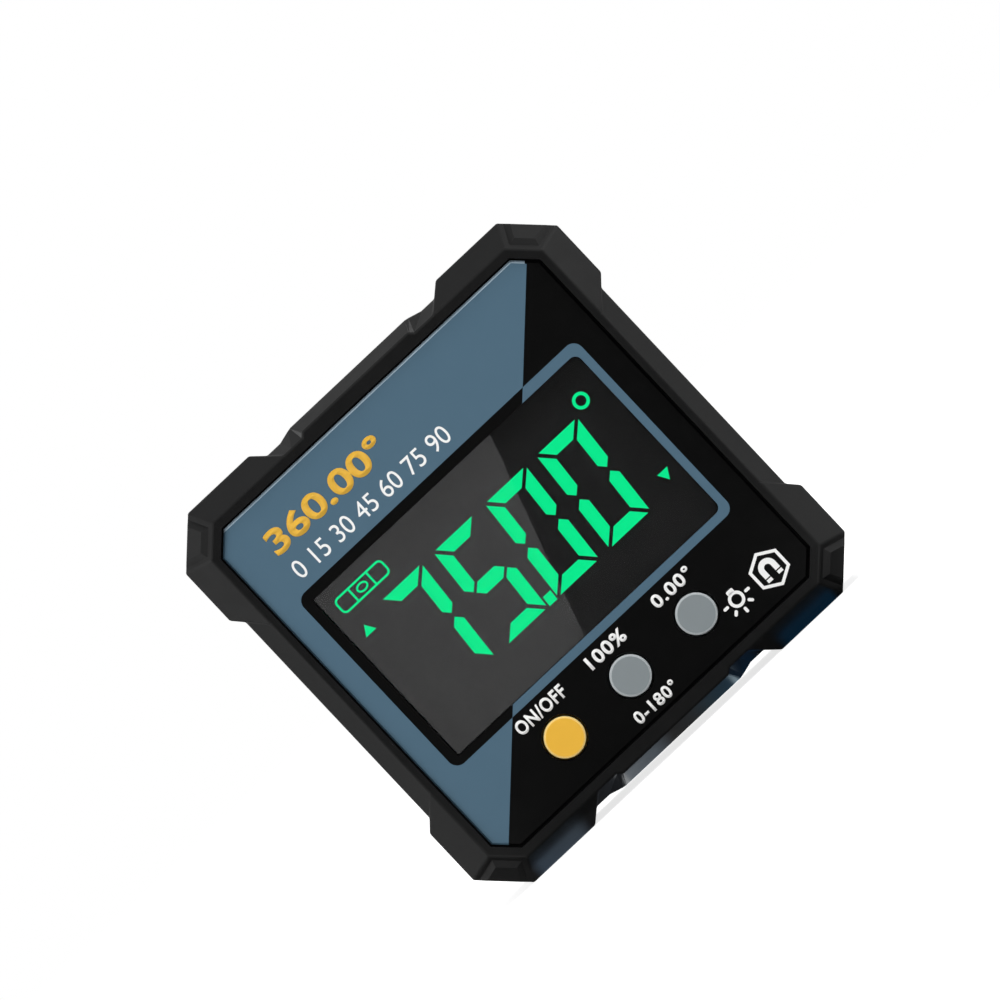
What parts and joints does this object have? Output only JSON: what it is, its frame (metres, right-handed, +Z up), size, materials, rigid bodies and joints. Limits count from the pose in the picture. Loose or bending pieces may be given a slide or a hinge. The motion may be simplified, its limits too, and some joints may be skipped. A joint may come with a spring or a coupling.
{
  "type": "digital angle gauge",
  "caption": "Square pocket inclinometer: black case with corner feet, printed panel, lit display, push buttons, battery door at the back and magnets in the base.",
  "frame": {"origin": "bottom centre of the case's box, in the plane of the base feet", "axes": "+Z up from the base feet, display and buttons face -Y, +X to the right as seen from the front"},
  "size_m": [0.06, 0.028, 0.0596],
  "materials": {
    "case": "black moulded plastic, satin with a fine grain",
    "panel": "printed plastic sheet, blue and black fields, satin",
    "window": "clear polished plastic",
    "display": "dark display glass, smooth",
    "display_frame": "white moulded plastic",
    "light_guide": "clear to milky plastic, smooth",
    "lamp": "yellowish resin",
    "contact_rubber": "striped conductive rubber, matte",
    "board": "green laminate, semi gloss",
    "chip": "black moulded resin, matte",
    "metal_can": "bright drawn metal",
    "capacitor_sleeve": "dark blue sleeve",
    "button_yellow": "yellow moulded plastic, satin",
    "button_grey": "grey moulded plastic, satin",
    "plunger": "black plastic",
    "switch": "stamped steel cover",
    "cell": "plain metallic sleeve",
    "spring": "plated spring wire",
    "contact": "nickel plated strip",
    "magnet": "bright nickel plate",
    "screw": "dark zinc plated steel"
  },
  "bodies": {
    "case": {"front_shell": "case", "rear_shell": "case", "face_panel": "panel", "window_lens": "window", "lcd_glass": "display", "lcd_frame": "display_frame", "light_guide": "light_guide", "backlight_led": "lamp", "contact_rubber": "contact_rubber", "main_board": "board", "controller_chip": "chip", "tilt_sensor": "metal_can", "crystal_can": "metal_can", "capacitor": "capacitor_sleeve", "power_switch": "switch", "hold_switch": "switch", "zero_switch": "switch", "battery_cell_1": "cell", "battery_cell_2": "cell", "cell_spring_1": "spring", "cell_spring_2": "spring", "contact_plus": "contact", "contact_minus": "contact", "contact_bridge": "contact", "base_magnet_left": "magnet", "base_magnet_right": "magnet", "case_screw_1": "screw", "case_screw_2": "screw", "case_screw_3": "screw", "case_screw_4": "screw", "board_screw_1": "screw", "board_screw_2": "screw", "board_screw_3": "screw", "board_screw_4": "screw"},
    "power_key": {"power_button": "button_yellow", "power_plunger": "plunger"},
    "hold_key": {"hold_button": "button_grey", "hold_plunger": "plunger"},
    "zero_key": {"zero_button": "button_grey", "zero_plunger": "plunger"},
    "door": {"battery_door": "case"}
  },
  "joints": [
    {"name": "power_press", "type": "slide", "parent": "case", "child": "power_key", "axis": [0, 1, 0], "range_m": [0, 0.0004], "stiffness_N_per_m": 1000, "springref_m": -0.0004},
    {"name": "hold_press", "type": "slide", "parent": "case", "child": "hold_key", "axis": [0, 1, 0], "range_m": [0, 0.0004], "stiffness_N_per_m": 1000, "springref_m": -0.0004},
    {"name": "zero_press", "type": "slide", "parent": "case", "child": "zero_key", "axis": [0, 1, 0], "range_m": [0, 0.0004], "stiffness_N_per_m": 1000, "springref_m": -0.0004},
    {"name": "door_lift_off", "type": "slide", "parent": "case", "child": "door", "axis": [0, 1, 0], "range_m": [0, 0.025]}
  ]
}
